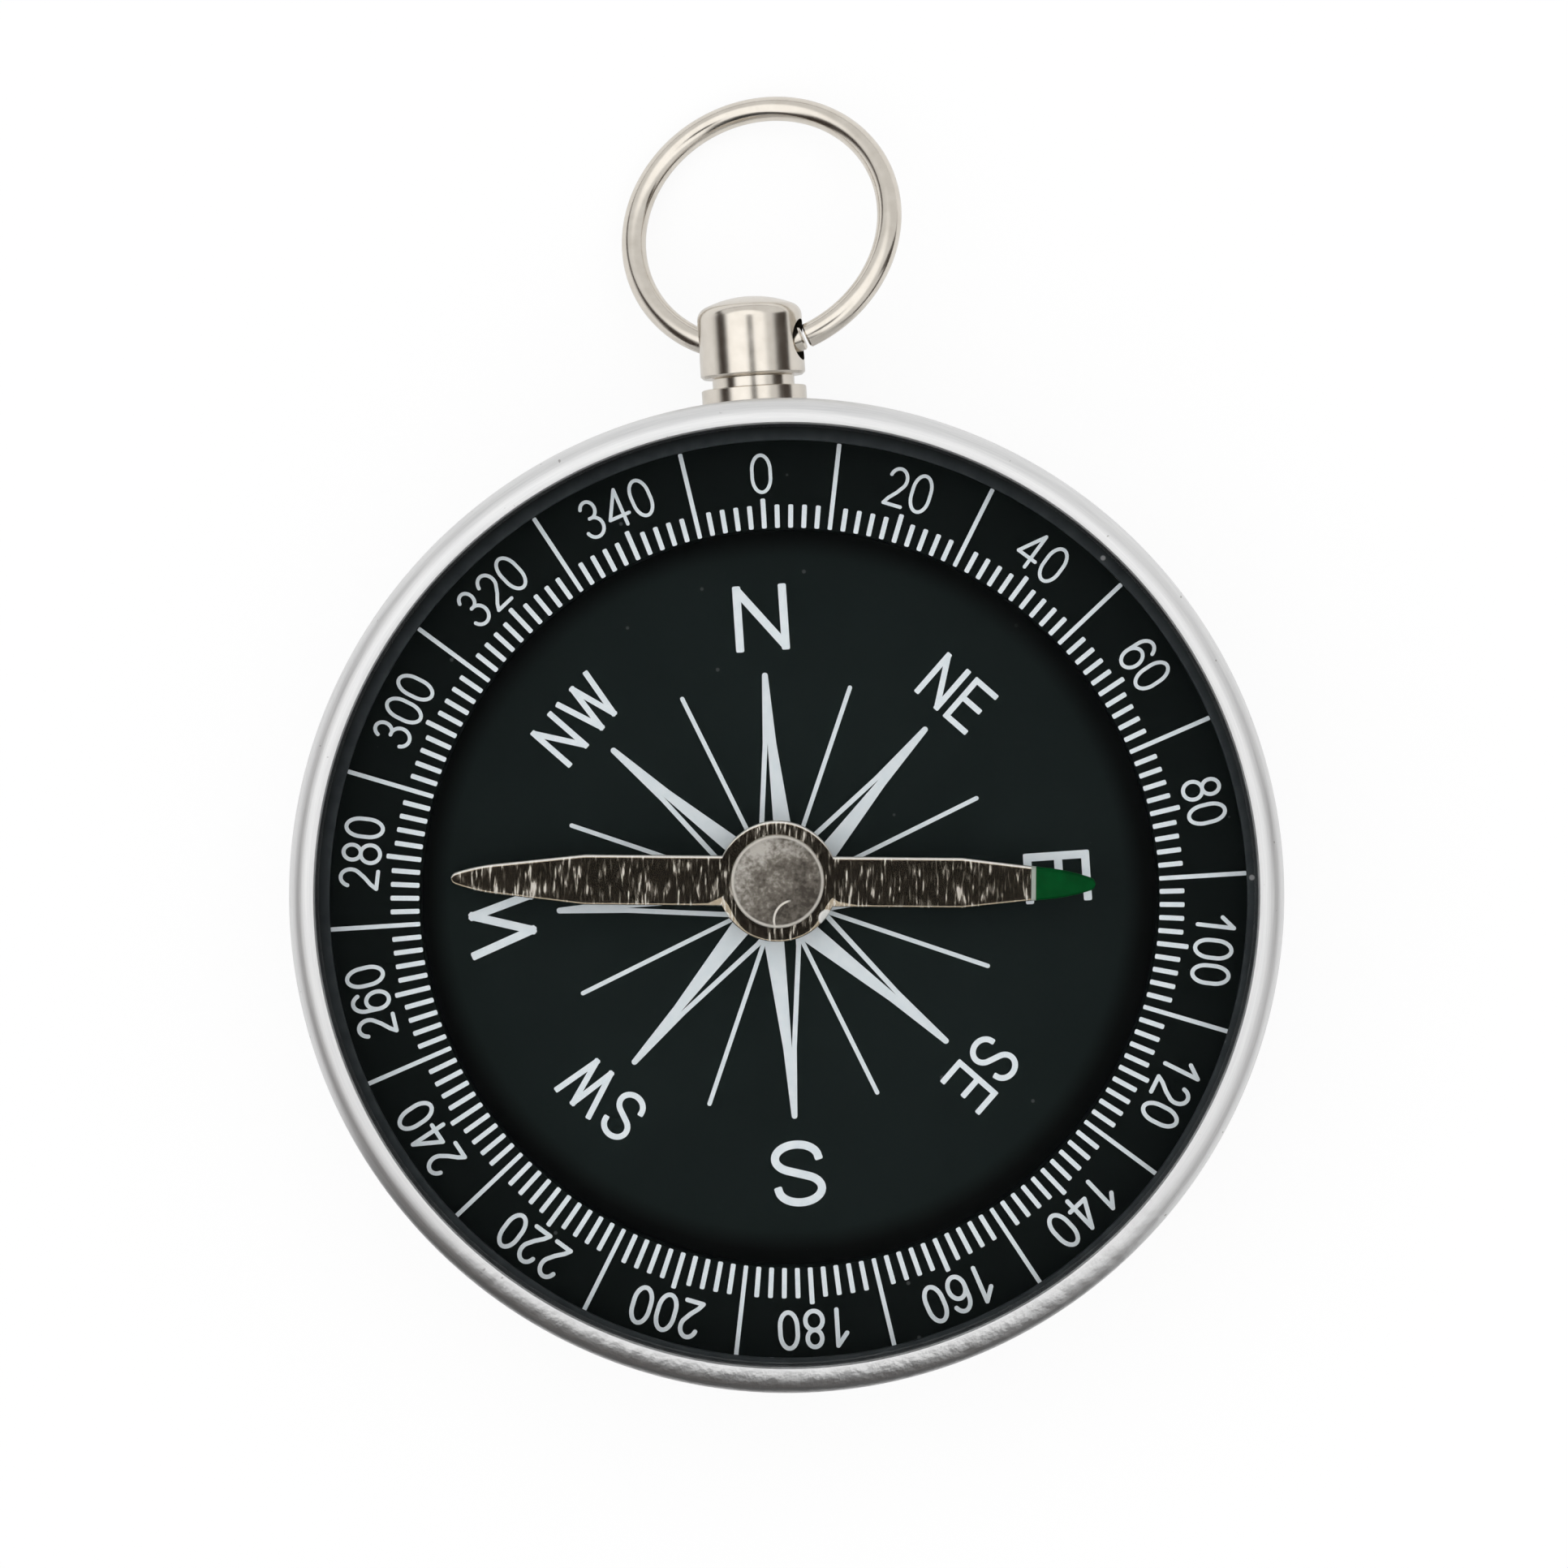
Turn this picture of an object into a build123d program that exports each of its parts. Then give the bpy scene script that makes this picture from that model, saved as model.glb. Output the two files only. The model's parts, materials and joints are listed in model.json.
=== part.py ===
"""Open-faced pocket compass, lying on its back with the dial facing up.

The origin is the middle of the case's back, +Z points out through the crystal and
+Y points at the stem, which is also north on the dial. All lengths are millimetres.
"""
import os
from math import cos, degrees, radians, sin, sqrt

from build123d import *

# Case: a drawn aluminium cup whose edge is rolled in over the crystal
case_diameter = 44.0
case_height = 10.0
case_wall = 0.8
case_floor = 0.8
back_radius = 2.0
roll_radius = 1.0
crest_width = 0.1
lip_height = 0.9
lip_edge_radius = 0.1

# Stack under the rim: crystal, seal, spacer ring, and a scale ring a little off the case's middle
insert_clearance = 0.1
crystal_thickness = 1.2
crystal_chamfer = 0.15
seal_width = 0.6
seal_thickness = 0.6
air_height = 3.8
spacer_wall = 0.3
scale_width = 4.02
scale_height = 1.8
scale_bevel = 0.15
scale_clearance = 0.3
scale_x = 0.06
scale_y = -0.26

# Dial and the moulded carrier under it
dial_thickness = 0.5
base_plate_thickness = 1.0
base_skirt_wall = 1.0
base_boss_diameter = 6.0
base_rib_thickness = 0.8
base_rib_count = 8

# Pivot: a brass post with a steel point, a little off the case's middle
pivot_x = -0.37
pivot_y = 0.61
post_diameter = 2.0
post_collar_diameter = 3.2
post_collar_height = 0.4
post_neck_diameter = 1.5
post_neck_height = 0.4
post_chamfer = 0.15
post_foot_gap = 0.2
post_web = 0.8
pin_diameter = 0.7
point_length = 0.9
point_diameter = 0.1
press_clearance = 0.01
running_gap = 0.03

# Needle: a stamped blade with a riveted cap, the point of its green end cleared by the scale
# ring before it is rounded, a tail end longer for balance, and its bearing in degrees
needle_bearing = 94.2
needle_clearance = 1.79
needle_tail_extra = 0.48
needle_width = 2.15
needle_thickness = 0.3
needle_hub_diameter = 5.3
needle_taper = 4.0
needle_nose_length = 2.47
needle_nose_width = 1.3
needle_nose_radius = 0.29
needle_edge_radius = 0.06
needle_rise = 1.5
cap_diameter = 4.16
cap_height = 0.9
cap_chamfer = 0.1
cap_roof = 0.25
cap_shank_diameter = 2.6
cap_flare_diameter = 3.2
cap_flare_thickness = 0.25
cap_bore_diameter = 1.8
jewel_height = 0.6
cup_diameter = 1.0
cup_depth = 0.45
cup_bottom_diameter = 0.2

# Stem: a turned pendant, riveted through the case wall, its cross hole turned a little
stem_diameter = 4.69
stem_flange_thickness = 0.7
stem_neck_diameter = 3.67
stem_neck_length = 0.5
stem_body_length = 2.65
stem_body_chamfer = 0.12
stem_dome_height = 0.97
stem_shoulder_radius = 0.6
stem_hole_clearance = 0.065
stem_hole_reach = 2.72
stem_hole_turn = 14.0
tail_diameter = 1.8
tail_clearance = 0.05
rivet_diameter = 2.5
rivet_thickness = 0.3
rivet_clearance = 0.1
cut_overrun = 1.0

# Ring: a bent wire with a butt joint, slid a little along the cross hole and resting with its
# far side on the table
ring_diameter = 13.0
ring_wire = 1.1
ring_rest_gap = 0.03
ring_slide = 0.3
ring_joint_gap = 0.15
ring_joint_turn = 21.5

# Sizes that follow from those above
case_radius = case_diameter / 2
inner_radius = case_radius - case_wall
corner_radius = back_radius - case_wall
crest_radius = case_radius - roll_radius - crest_width
insert_radius = inner_radius - insert_clearance
seal_radius = insert_radius - seal_width
spacer_radius = insert_radius - spacer_wall
dial_radius = spacer_radius - scale_clearance
scale_inner_radius = dial_radius - scale_width
crystal_top = case_height - lip_height
crystal_bottom = crystal_top - crystal_thickness
seal_bottom = crystal_bottom - seal_thickness
dial_top = crystal_bottom - air_height
base_top = dial_top - dial_thickness
plate_bottom = base_top - base_plate_thickness
blade_bottom = dial_top + needle_rise
blade_top = blade_bottom + needle_thickness
cap_top = blade_top + cap_height
jewel_top = cap_top - cap_roof
jewel_bottom = jewel_top - jewel_height
point_top = jewel_bottom + cup_depth - running_gap
stem_height = case_height / 2
stem_radius = stem_diameter / 2
tail_radius = tail_diameter / 2
rivet_radius = rivet_diameter / 2
rivet_seat = sqrt(inner_radius**2 - rivet_radius**2)
rivet_face = rivet_seat - rivet_thickness
pocket_face = rivet_face - rivet_clearance
pocket_depth = case_radius - pocket_face + cut_overrun

# Planes and axes that several pieces share
pivot_section = Plane(origin=(pivot_x, pivot_y, 0), x_dir=(1, 0, 0), z_dir=(0, -1, 0))
pivot_axis = Axis((pivot_x, pivot_y, 0), (0, 0, 1))
stem_axis = Axis((0, 0, stem_height), (0, 1, 0))
rivet_pocket = Plane(origin=(0, pocket_face, stem_height), x_dir=(1, 0, 0), z_dir=(0, 1, 0))

os.makedirs("parts", exist_ok=True)

# Case: section of back, wall and rolled lip, turned round the middle
with BuildPart() as case:
    with BuildSketch(Plane.XZ):
        with BuildLine():
            back = Line((0, 0), (case_radius - back_radius, 0))
            heel = TangentArc(back @ 1, (case_radius, back_radius), tangent=back % 1)
            wall = Line(heel @ 1, (case_radius, case_height - roll_radius))
            roll = TangentArc(wall @ 1, (case_radius - roll_radius, case_height), tangent=wall % 1)
            crest = Line(roll @ 1, (crest_radius, case_height))
            lip_edge = (crest_radius - lip_edge_radius, case_height - lip_edge_radius)
            edge = TangentArc(crest @ 1, lip_edge, tangent=crest % 1)
            lip = Polyline(edge @ 1, (crest_radius - lip_edge_radius, crystal_top),
                           (inner_radius, crystal_top), (inner_radius, case_floor + corner_radius))
            corner = TangentArc(lip @ 1, (inner_radius - corner_radius, case_floor), tangent=lip % 1)
            Polyline(corner @ 1, (0, case_floor), back @ 0)
        make_face()
    revolve(axis=Axis.Z)
    with BuildSketch(rivet_pocket):
        Circle(tail_radius + tail_clearance)
    extrude(amount=pocket_depth, mode=Mode.SUBTRACT)
case.part.label = "case"
export_step(case.part, "parts/case.step")

# Crystal: a flat clear disc with broken edges, held between lip and seal
with BuildPart() as crystal:
    with BuildSketch(Plane.XY.offset(crystal_bottom)):
        Circle(insert_radius)
    extrude(amount=crystal_thickness)
    chamfer(crystal.edges().filter_by(GeomType.CIRCLE), length=crystal_chamfer)
crystal.part.label = "crystal"
export_step(crystal.part, "parts/crystal.step")

# Seal: the flat ring that the crystal is pressed on, its opening in line with the scale ring
with BuildPart() as crystal_seal:
    with BuildSketch(Plane.XY.offset(seal_bottom)):
        Circle(insert_radius)
        with Locations((scale_x, scale_y)):
            Circle(seal_radius, mode=Mode.SUBTRACT)
    extrude(amount=seal_thickness)
crystal_seal.part.label = "crystal_seal"
export_step(crystal_seal.part, "parts/crystal_seal.step")

# Spacer ring: stands on the carrier round the dial, slotted to slip down over the rivet
slot_radius = rivet_radius + rivet_clearance
slot_drop = stem_height - base_top
with BuildPart() as spacer_ring:
    with BuildSketch(Plane.XY.offset(base_top)):
        Circle(insert_radius)
        Circle(spacer_radius, mode=Mode.SUBTRACT)
    extrude(amount=seal_bottom - base_top)
    with BuildSketch(rivet_pocket):
        Circle(slot_radius)
        Rectangle(2 * slot_radius, slot_drop, align=(Align.CENTER, Align.MIN))
    extrude(amount=pocket_depth, mode=Mode.SUBTRACT)
spacer_ring.part.label = "spacer_ring"
export_step(spacer_ring.part, "parts/spacer_ring.step")

# Scale ring: lies on the dial's margin, bevelled at its inner top edge
with BuildPart() as scale_ring:
    with BuildSketch(Plane.XY.offset(dial_top)):
        with Locations((scale_x, scale_y)):
            Circle(dial_radius)
            Circle(scale_inner_radius, mode=Mode.SUBTRACT)
    extrude(amount=scale_height)
    inner_edge = scale_ring.faces().sort_by(Axis.Z)[-1].inner_wires()[0].edges()
    chamfer(inner_edge, length=scale_bevel)
scale_ring.part.label = "scale_ring"
export_step(scale_ring.part, "parts/scale_ring.step")

# Dial: a thin disc with a hole for the pivot post
with BuildPart() as dial:
    with BuildSketch(Plane.XY.offset(base_top)):
        Circle(dial_radius)
        with Locations((pivot_x, pivot_y)):
            Circle(post_diameter / 2 + press_clearance, mode=Mode.SUBTRACT)
    extrude(amount=dial_thickness)
dial.part.label = "dial"
export_step(dial.part, "parts/dial.step")

# Carrier: plate on a skirt, with a ribbed boss for the pivot post and a notch for the rivet
skirt_radius = inner_radius - corner_radius - insert_clearance
rib_length = skirt_radius - base_skirt_wall / 2
with BuildPart() as dial_base:
    with BuildSketch(Plane.XY.offset(plate_bottom)):
        Circle(insert_radius)
        with Locations((0, pocket_face)):
            Rectangle(2 * slot_radius, pocket_depth, align=(Align.CENTER, Align.MIN), mode=Mode.SUBTRACT)
    extrude(amount=base_plate_thickness)
    with BuildSketch(Plane.XY.offset(case_floor)):
        Circle(skirt_radius)
        Circle(skirt_radius - base_skirt_wall, mode=Mode.SUBTRACT)
        with PolarLocations(rib_length / 2, base_rib_count):
            Rectangle(rib_length, base_rib_thickness)
        with Locations((pivot_x, pivot_y)):
            Circle(base_boss_diameter / 2)
    extrude(amount=plate_bottom - case_floor)
    with BuildSketch(Plane.XY.offset(case_floor)):
        with Locations((pivot_x, pivot_y)):
            Circle(post_diameter / 2 + press_clearance)
    extrude(amount=base_top - case_floor, mode=Mode.SUBTRACT)
dial_base.part.label = "dial_base"
export_step(dial_base.part, "parts/dial_base.step")

# Pivot post: turned brass, its collar on the dial and its shank in the boss
collar_top = dial_top + post_collar_height
neck_top = collar_top + post_neck_height
post_foot = case_floor + post_foot_gap
pin_foot = post_foot + post_web
with BuildPart() as pivot_post:
    with BuildSketch(pivot_section):
        with BuildLine():
            Polyline((0, post_foot), (post_diameter / 2, post_foot),
                     (post_diameter / 2, dial_top), (post_collar_diameter / 2, dial_top),
                     (post_collar_diameter / 2, collar_top), (post_neck_diameter / 2, collar_top),
                     (post_neck_diameter / 2, neck_top - post_chamfer),
                     (post_neck_diameter / 2 - post_chamfer, neck_top),
                     (pin_diameter / 2 + press_clearance, neck_top),
                     (pin_diameter / 2 + press_clearance, pin_foot), (0, pin_foot), close=True)
        make_face()
    revolve(axis=pivot_axis)
pivot_post.part.label = "pivot_post"
export_step(pivot_post.part, "parts/pivot_post.step")

# Pivot pin: a steel pin ground to a point with a rounded end
with BuildPart() as pivot_pin:
    with BuildSketch(pivot_section):
        with BuildLine():
            shank = Polyline((0, pin_foot), (pin_diameter / 2, pin_foot),
                             (pin_diameter / 2, point_top - point_length))
            cone = Line(shank @ 1, (point_diameter / 2, point_top - point_diameter / 2))
            RadiusArc(cone @ 1, (0, point_top), -point_diameter / 2)
            Line((0, point_top), (0, pin_foot))
        make_face()
    revolve(axis=pivot_axis)
pivot_pin.part.label = "pivot_pin"
export_step(pivot_pin.part, "parts/pivot_pin.step")

# Needle: two tapering arms with blunt noses on a round hub, edges eased on top
needle_reach = scale_inner_radius - needle_clearance
taper_end = needle_reach - needle_nose_length
needle_plane = Plane(
    origin=(pivot_x, pivot_y, blade_bottom),
    x_dir=(sin(radians(needle_bearing)), cos(radians(needle_bearing)), 0),
    z_dir=(0, 0, 1),
)
with BuildPart() as needle:
    with BuildSketch(needle_plane) as blade:
        with BuildLine():
            side = Line((0, needle_width / 2), (taper_end - needle_taper, needle_width / 2))
            taper = Line(side @ 1, (taper_end, needle_nose_width / 2))
            nose = TangentArc(taper @ 1, (needle_reach, 0), tangent=taper % 1)
            Polyline(nose @ 1, (0, 0), side @ 0)
        make_face()
        mirror(about=Plane.XZ)
        mirror(about=Plane.YZ.offset(-needle_tail_extra / 2))
        tips = blade.vertices().sort_by(Axis.X)
        fillet([tips[0], tips[-1]], radius=needle_nose_radius)
        Circle(needle_hub_diameter / 2)
        Circle(cap_shank_diameter / 2 + press_clearance, mode=Mode.SUBTRACT)
    extrude(amount=needle_thickness)
    blade_face = needle.faces().sort_by(Axis.Z)[-1]
    fillet(blade_face.outer_wire().edges(), radius=needle_edge_radius)
needle.part.label = "needle"
export_step(needle.part, "parts/needle.step")

# Needle cap: a turned button, its hollow shank flared under the blade
flare_bottom = blade_bottom - cap_flare_thickness
with BuildPart() as needle_cap:
    with BuildSketch(pivot_section):
        with BuildLine():
            Polyline((cap_bore_diameter / 2, flare_bottom), (cap_flare_diameter / 2, flare_bottom),
                     (cap_flare_diameter / 2, blade_bottom), (cap_shank_diameter / 2, blade_bottom),
                     (cap_shank_diameter / 2, blade_top), (cap_diameter / 2, blade_top),
                     (cap_diameter / 2, cap_top - cap_chamfer), (cap_diameter / 2 - cap_chamfer, cap_top),
                     (0, cap_top), (0, jewel_top), (cap_bore_diameter / 2, jewel_top), close=True)
        make_face()
    revolve(axis=pivot_axis)
needle_cap.part.label = "needle_cap"
export_step(needle_cap.part, "parts/needle_cap.step")

# Jewel: a cup bearing pressed up into the cap, its hollow facing the point
jewel_radius = cap_bore_diameter / 2 - press_clearance
cup_top = jewel_bottom + cup_depth
with BuildPart() as cap_jewel:
    with BuildSketch(pivot_section):
        with BuildLine():
            Polyline((cup_diameter / 2, jewel_bottom), (jewel_radius, jewel_bottom),
                     (jewel_radius, jewel_top), (0, jewel_top), (0, cup_top),
                     (cup_bottom_diameter / 2, cup_top), close=True)
        make_face()
    revolve(axis=pivot_axis)
cap_jewel.part.label = "cap_jewel"
export_step(cap_jewel.part, "parts/cap_jewel.step")

# Stem: turned round the stem axis from rivet to dome, then cross drilled
flange_top = case_radius + stem_flange_thickness
neck_end = flange_top + stem_neck_length
body_end = neck_end + stem_body_length
hole_y = case_radius + stem_hole_reach
wire_radius = ring_diameter / 2 - ring_wire / 2
bow_rise = wire_radius - sqrt(wire_radius**2 - (stem_radius + ring_slide)**2)
stem_hole_diameter = ring_wire + bow_rise + 2 * stem_hole_clearance
dome_spread = stem_radius - stem_shoulder_radius
dome_rise = stem_dome_height - stem_shoulder_radius
crown_radius = (dome_spread**2 + stem_dome_height**2 - stem_shoulder_radius**2) / (2 * dome_rise)
crown_depth = crown_radius - stem_dome_height
crown_share = crown_radius / (crown_radius - stem_shoulder_radius)
hole_axis = Vector(cos(radians(stem_hole_turn)), 0, sin(radians(stem_hole_turn)))
with BuildPart() as stem:
    with BuildSketch(Plane.XY.offset(stem_height)):
        with BuildLine():
            turned = Polyline((0, rivet_face), (rivet_radius, rivet_face), (rivet_radius, rivet_seat),
                              (tail_radius, rivet_seat), (tail_radius, case_radius),
                              (stem_radius, case_radius), (stem_radius, flange_top),
                              (stem_neck_diameter / 2, flange_top), (stem_neck_diameter / 2, neck_end),
                              (stem_radius - stem_body_chamfer, neck_end),
                              (stem_radius, neck_end + stem_body_chamfer), (stem_radius, body_end))
            shoulder_end = (dome_spread * crown_share, body_end + crown_depth * (crown_share - 1))
            shoulder = TangentArc(turned @ 1, shoulder_end, tangent=turned % 1)
            crown = TangentArc(shoulder @ 1, (0, body_end + stem_dome_height), tangent=shoulder % 1)
            Line(crown @ 1, turned @ 0)
        make_face()
    revolve(axis=stem_axis)
    with BuildSketch(Plane(origin=(0, hole_y, stem_height), x_dir=(0, 1, 0), z_dir=hole_axis)):
        Circle(stem_hole_diameter / 2)
    extrude(amount=stem_diameter, both=True, mode=Mode.SUBTRACT)
stem.part.label = "stem"
export_step(stem.part, "parts/stem.step")

# Ring: round wire swept along an open circle, let down until its far side is on the table.
# Its lowest point is below the hole by the sloped reach, the sloped radius and half the wire,
# less the rise of its slide, so the sine of its slope is the root of a quadratic
ring_reach = wire_radius - bow_rise / 2
turn = radians(stem_hole_turn)
hole_rise = stem_height + ring_slide * sin(turn) - ring_wire / 2 - ring_rest_gap
square_term = cos(turn)**2 * (wire_radius**2 - ring_reach**2)
linear_term = hole_rise * ring_reach * cos(turn)
constant_term = hole_rise**2 - (wire_radius * sin(turn))**2
slope_sine = (sqrt(linear_term**2 + square_term * constant_term) - linear_term) / square_term
slope_cosine = sqrt(1 - slope_sine**2)
ring_lean = Vector(slope_sine * sin(turn), slope_cosine, -slope_sine * cos(turn))
ring_center = Vector(0, hole_y, stem_height) + ring_lean * ring_reach + hole_axis * ring_slide
ring_plane = Plane(origin=ring_center, x_dir=hole_axis, z_dir=hole_axis.cross(ring_lean))
joint_angle = 270 + ring_joint_turn
joint_arc = degrees(ring_joint_gap / wire_radius)
with BuildPart() as ring:
    with BuildLine(ring_plane):
        bow = CenterArc((0, 0), wire_radius, joint_angle + joint_arc / 2, 360 - joint_arc)
    with BuildSketch(bow ^ 0):
        Circle(ring_wire / 2)
    sweep()
ring.part.label = "ring"
export_step(ring.part, "parts/ring.step")
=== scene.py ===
"""Pocket compass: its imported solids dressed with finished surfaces, on a pale table.

Lengths are metres, written as millimetres times mm. +Z points out through the crystal,
and +Y at the stem, which is also north on the dial. Bearings run clockwise from north.
"""
import json

import bpy
import numpy as np
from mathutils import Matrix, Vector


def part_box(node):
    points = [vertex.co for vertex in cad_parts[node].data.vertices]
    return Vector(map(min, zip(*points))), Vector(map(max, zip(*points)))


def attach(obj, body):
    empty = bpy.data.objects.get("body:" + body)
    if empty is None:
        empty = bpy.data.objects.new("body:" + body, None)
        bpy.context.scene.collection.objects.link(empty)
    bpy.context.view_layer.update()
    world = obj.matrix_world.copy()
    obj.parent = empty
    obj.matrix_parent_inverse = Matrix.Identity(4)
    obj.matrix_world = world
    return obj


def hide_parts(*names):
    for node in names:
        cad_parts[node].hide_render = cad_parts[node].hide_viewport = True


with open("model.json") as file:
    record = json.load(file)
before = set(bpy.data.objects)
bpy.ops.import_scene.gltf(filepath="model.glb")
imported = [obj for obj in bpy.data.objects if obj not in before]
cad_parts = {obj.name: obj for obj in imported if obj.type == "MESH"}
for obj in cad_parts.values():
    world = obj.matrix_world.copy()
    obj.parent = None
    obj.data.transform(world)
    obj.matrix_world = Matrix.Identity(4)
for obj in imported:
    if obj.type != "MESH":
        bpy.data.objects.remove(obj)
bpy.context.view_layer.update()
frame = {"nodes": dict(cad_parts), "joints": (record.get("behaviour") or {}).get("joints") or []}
mm = 0.001

# Case
# A cup drawn from aluminium sheet, its mouth rolled in over the crystal and its wall drilled
# for the stem. The metal is satin from an abrasive pad held against it as it turned.
case_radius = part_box("case")[1].x
case_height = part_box("case")[1].z
crystal_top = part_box("crystal")[1].z
stem_height = case_height / 2
case_wall = 0.8 * mm
case_floor = 0.8 * mm
back_radius = 2.0 * mm
corner_radius = back_radius - case_wall
roll_radius = 1.0 * mm
crest_width = 0.1 * mm
lip_edge = 0.05 * mm
tail_hole_radius = 0.95 * mm
dents_start = -0.6 * case_radius
dents_full = -0.95 * case_radius
inner_radius = case_radius - case_wall
crest_radius = case_radius - roll_radius - crest_width
lip_radius = crest_radius - lip_edge
weld_gap = 1e-8
sharp_angle = np.radians(33)


def bend(center, radius, start, end, steps=12):
    """An arc's points: its center plus its radius times cosine and sine, in even steps of angle."""
    angle = np.radians(np.linspace(start, end, steps + 1))
    return np.array(center) + radius * np.column_stack([np.cos(angle), np.sin(angle)])


def straight(start, end):
    """A straight stretch's points, with one close to each end, which keeps its shading flat."""
    share = np.array([[0.0], [0.03], [0.97], [1.0]])
    return (1 - share) * np.array(start) + share * np.array(end)


def turned(profile, columns=240):
    """A profile of (radius, height) carried round the Z axis: x = r cos a, y = r sin a, z = h."""
    angle = np.linspace(0, 2 * np.pi, columns, endpoint=False)
    radius, height = profile[:, :1], profile[:, 1:]
    return np.stack([radius * np.cos(angle), radius * np.sin(angle), height + 0 * angle], axis=2)


def surface(name, *grids):
    """One mesh of grids of points. Neighbours make quads, the columns close on themselves, and
    points that coincide are merged, which closes poles, ends and profiles that return."""
    quads, points, start = [], [], 0
    for grid in grids:
        index = start + np.arange(grid.shape[0] * grid.shape[1]).reshape(grid.shape[:2])
        index = np.hstack([index, index[:, :1]])
        corners = [index[:-1, :-1], index[:-1, 1:], index[1:, 1:], index[1:, :-1]]
        quads.append(np.stack(corners, axis=2).reshape(-1, 4))
        points.append(grid.reshape(-1, 3))
        start += grid.shape[0] * grid.shape[1]
    points, quads = np.vstack(points), np.vstack(quads)
    cells = np.round(points / weld_gap).astype(np.int64)
    _, first, merged = np.unique(cells, axis=0, return_index=True, return_inverse=True)
    corners = merged.reshape(-1)[quads]
    kept = corners != np.roll(corners, 1, axis=1)
    sizes = kept.sum(axis=1)
    whole = sizes > 2
    loops = corners[whole][kept[whole]]
    starts = np.cumsum(sizes[whole]) - sizes[whole]
    mesh = bpy.data.meshes.new(name)
    mesh.vertices.add(len(first))
    mesh.vertices.foreach_set("co", points[first].ravel())
    mesh.loops.add(len(loops))
    mesh.loops.foreach_set("vertex_index", loops)
    mesh.polygons.add(len(starts))
    mesh.polygons.foreach_set("loop_start", starts)
    mesh.update(calc_edges=True)
    mesh.validate()
    mesh.shade_smooth()
    mesh.set_sharp_from_angle(angle=sharp_angle)
    piece = bpy.data.objects.new(name, mesh)
    bpy.context.scene.collection.objects.link(piece)
    return piece


def drill(piece, cutter):
    """Takes the cutter's shape out of the piece."""
    cut = piece.modifiers.new("drill", "BOOLEAN")
    cut.object = cutter
    ready = bpy.context.evaluated_depsgraph_get()
    solid, drilled = piece.data, bpy.data.meshes.new_from_object(piece.evaluated_get(ready))
    drilled.set_sharp_from_angle(angle=sharp_angle)
    piece.modifiers.clear()
    piece.data = drilled
    bpy.data.objects.remove(cutter)
    bpy.data.meshes.remove(solid)
    drilled.name = piece.name


def finish(name, **sockets):
    """A material of one Principled shader, with its sockets set to the given plain values."""
    material = bpy.data.materials.new(name)
    material.use_nodes = True
    shader = material.node_tree.nodes["Principled BSDF"]
    for socket, value in sockets.items():
        shader.inputs[socket.replace("_", " ")].default_value = value
    return material, material.node_tree, shader.inputs


def add(tree, kind, inputs=(), **settings):
    """A shader node. Each of its inputs takes a plain value or another node's output."""
    node = tree.nodes.new("ShaderNode" + kind)
    for name, value in settings.items():
        setattr(node, name, value)
    for key, value in dict(inputs).items():
        if isinstance(value, bpy.types.NodeSocket):
            tree.links.new(value, node.inputs[key])
        else:
            node.inputs[key].default_value = value
    return node.outputs


def calc(tree, operation, *values):
    """A number worked out by one Math node."""
    return add(tree, "Math", enumerate(values), operation=operation)[0]


def combine(tree, operation, *values):
    """A vector worked out by one Vector Math node."""
    return add(tree, "VectorMath", enumerate(values), operation=operation)[0]


def measure(tree, operation, *values):
    """A number worked out from vectors by one Vector Math node."""
    return add(tree, "VectorMath", enumerate(values), operation=operation)["Value"]


def remap(tree, value, start, end, low=0.0, high=1.0):
    """A number that runs from low to high as the value goes from start to end, and stops there."""
    inputs = {"Value": value, "From Min": start, "From Max": end, "To Min": low, "To Max": high}
    return add(tree, "MapRange", inputs)[0]


def blend(tree, factor, under, over):
    """The first colour where the factor is 0 and the second where it is 1."""
    return add(tree, "Mix", {"Factor": factor, 6: under, 7: over}, data_type="RGBA")[2]


def ramp(tree, value, *stops):
    """Colours spread over a value from 0 to 1. Each stop is a place and a colour."""
    node = tree.nodes.new("ShaderNodeValToRGB")
    tree.links.new(value, node.inputs[0])
    elements = node.color_ramp.elements
    while len(elements) < len(stops):
        elements.new(1.0)
    for element, (place, colour) in zip(elements, stops):
        element.position = place
        element.color = (*colour, 1.0)
    return node.outputs[0]


def noise(tree, vector, scale, detail=2.0):
    """Cloudy noise from 0 to 1, with so many clouds to the metre."""
    inputs = {"Vector": vector, "Scale": scale, "Detail": detail}
    return add(tree, "TexNoise", inputs)[0]


def bump(tree, height, strength, depth):
    """A normal that makes the surface look raised by the height's share of the depth."""
    return add(tree, "Bump", {"Height": height, "Strength": strength, "Distance": depth})[0]


def lathe_grain(tree, streak, line):
    """Noise drawn out round the Z axis: sampled at the direction from the axis, spread by streak,
    and at the height and the radius, packed by line, so that lines run round and never meet."""
    place = add(tree, "TexCoord")["Object"]
    flat = combine(tree, "MULTIPLY", place, (1, 1, 0))
    outward = combine(tree, "NORMALIZE", flat)
    height = combine(tree, "MULTIPLY", place, (0, 0, line))
    spot = combine(tree, "MULTIPLY_ADD", outward, (streak, streak, 0), height)
    radius = calc(tree, "MULTIPLY", measure(tree, "LENGTH", flat), line)
    inputs = {"Vector": spot, "W": radius, "Scale": 1.0, "Detail": 3.0}
    return add(tree, "TexNoise", inputs, noise_dimensions="4D")[0]


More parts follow.
